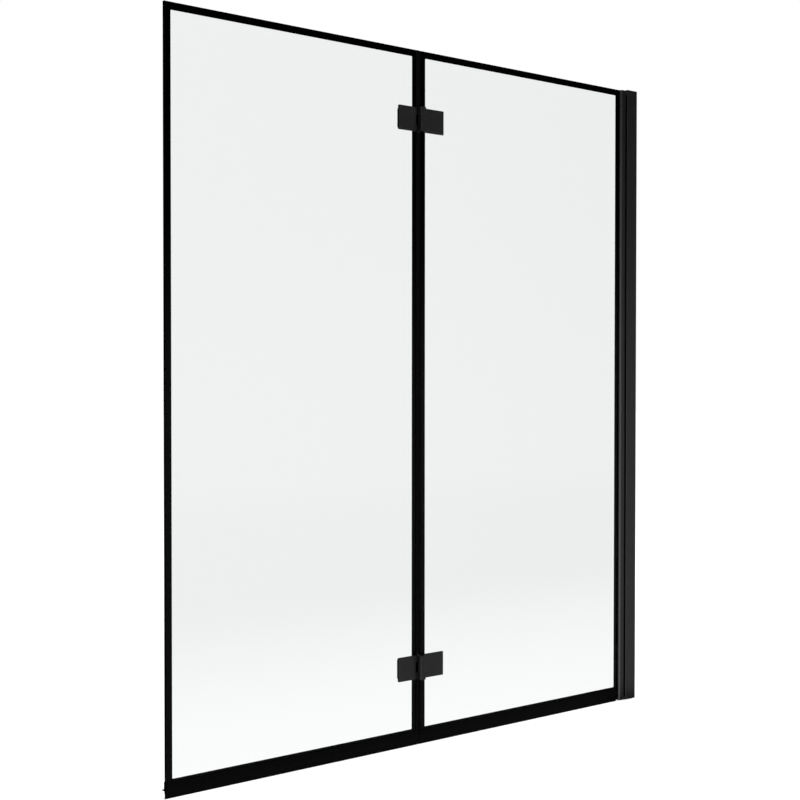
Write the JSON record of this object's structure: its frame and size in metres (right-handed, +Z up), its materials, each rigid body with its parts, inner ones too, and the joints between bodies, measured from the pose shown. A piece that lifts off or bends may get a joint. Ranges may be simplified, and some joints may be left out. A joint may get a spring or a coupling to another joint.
{
  "type": "bath screen",
  "caption": "Folding glass bath screen: black-bordered panes joined by clamp hinges, turning on a slim black wall profile, with flexible seals.",
  "frame": {"origin": "foot of the wall profile, on the wall face, in the middle plane of the panes", "axes": "+X into the wall, so that the screen runs to -X; +Z up; +Y the bath side, -Y the room side"},
  "size_m": [1.2, 0.0332, 1.4062],
  "materials": {
    "black_extrusion": "satin black powder coat on extruded aluminium",
    "black_hinge_metal": "satin black powder coat",
    "clear_glass": "clear toughened glass, polished edges",
    "black_enamel": "black enamel fired on the bath face of the glass",
    "black_rubber": "black flexible seal",
    "black_plastic": "moulded, satin black",
    "steel": "turned stainless steel"
  },
  "bodies": {
    "wall_post": {"wall_profile": "black_extrusion", "adjusting_profile": "black_extrusion", "adjusting_screws": "steel", "adjusting_screw_caps": "black_plastic", "wall_profile_top_cap": "black_plastic", "bottom_pivot_bracket": "black_hinge_metal", "top_pivot_bracket": "black_hinge_metal", "bracket_screws": "steel", "bottom_pivot_pin": "steel", "top_pivot_pin": "steel"},
    "inner_panel": {"pivot_profile": "black_extrusion", "bottom_pivot_bush": "black_plastic", "top_pivot_bush": "black_plastic", "front_glazing_gasket": "black_rubber", "back_glazing_gasket": "black_rubber", "inner_glass": "clear_glass", "inner_border_print": "black_enamel", "inner_bottom_seal": "black_rubber", "lower_hinge_inner_leaf": "black_hinge_metal", "lower_hinge_bush": "black_plastic", "lower_hinge_inner_back_plate": "black_hinge_metal", "lower_hinge_inner_front_gasket": "black_rubber", "lower_hinge_inner_back_gasket": "black_rubber", "lower_hinge_inner_screws": "steel", "upper_hinge_inner_leaf": "black_hinge_metal", "upper_hinge_bush": "black_plastic", "upper_hinge_inner_back_plate": "black_hinge_metal", "upper_hinge_inner_front_gasket": "black_rubber", "upper_hinge_inner_back_gasket": "black_rubber", "upper_hinge_inner_screws": "steel"},
    "outer_panel": {"outer_glass": "clear_glass", "outer_border_print": "black_enamel", "outer_bottom_seal": "black_rubber", "meeting_seal": "black_rubber", "lower_hinge_outer_leaf": "black_hinge_metal", "lower_hinge_pin": "steel", "lower_hinge_outer_back_plate": "black_hinge_metal", "lower_hinge_outer_front_gasket": "black_rubber", "lower_hinge_outer_back_gasket": "black_rubber", "lower_hinge_outer_screws": "steel", "upper_hinge_outer_leaf": "black_hinge_metal", "upper_hinge_pin": "steel", "upper_hinge_outer_back_plate": "black_hinge_metal", "upper_hinge_outer_front_gasket": "black_rubber", "upper_hinge_outer_back_gasket": "black_rubber", "upper_hinge_outer_screws": "steel"}
  },
  "joints": [
    {"name": "wall_pivot", "type": "hinge", "parent": "wall_post", "child": "inner_panel", "pos_m": [-0.043, 0, 0], "axis": [0, 0, 1], "range_deg": [-90, 90]},
    {"name": "fold", "type": "hinge", "parent": "inner_panel", "child": "outer_panel", "pos_m": [-0.63475, -0.014, 0], "axis": [0, 0, 1], "range_deg": [0, 180]}
  ]
}
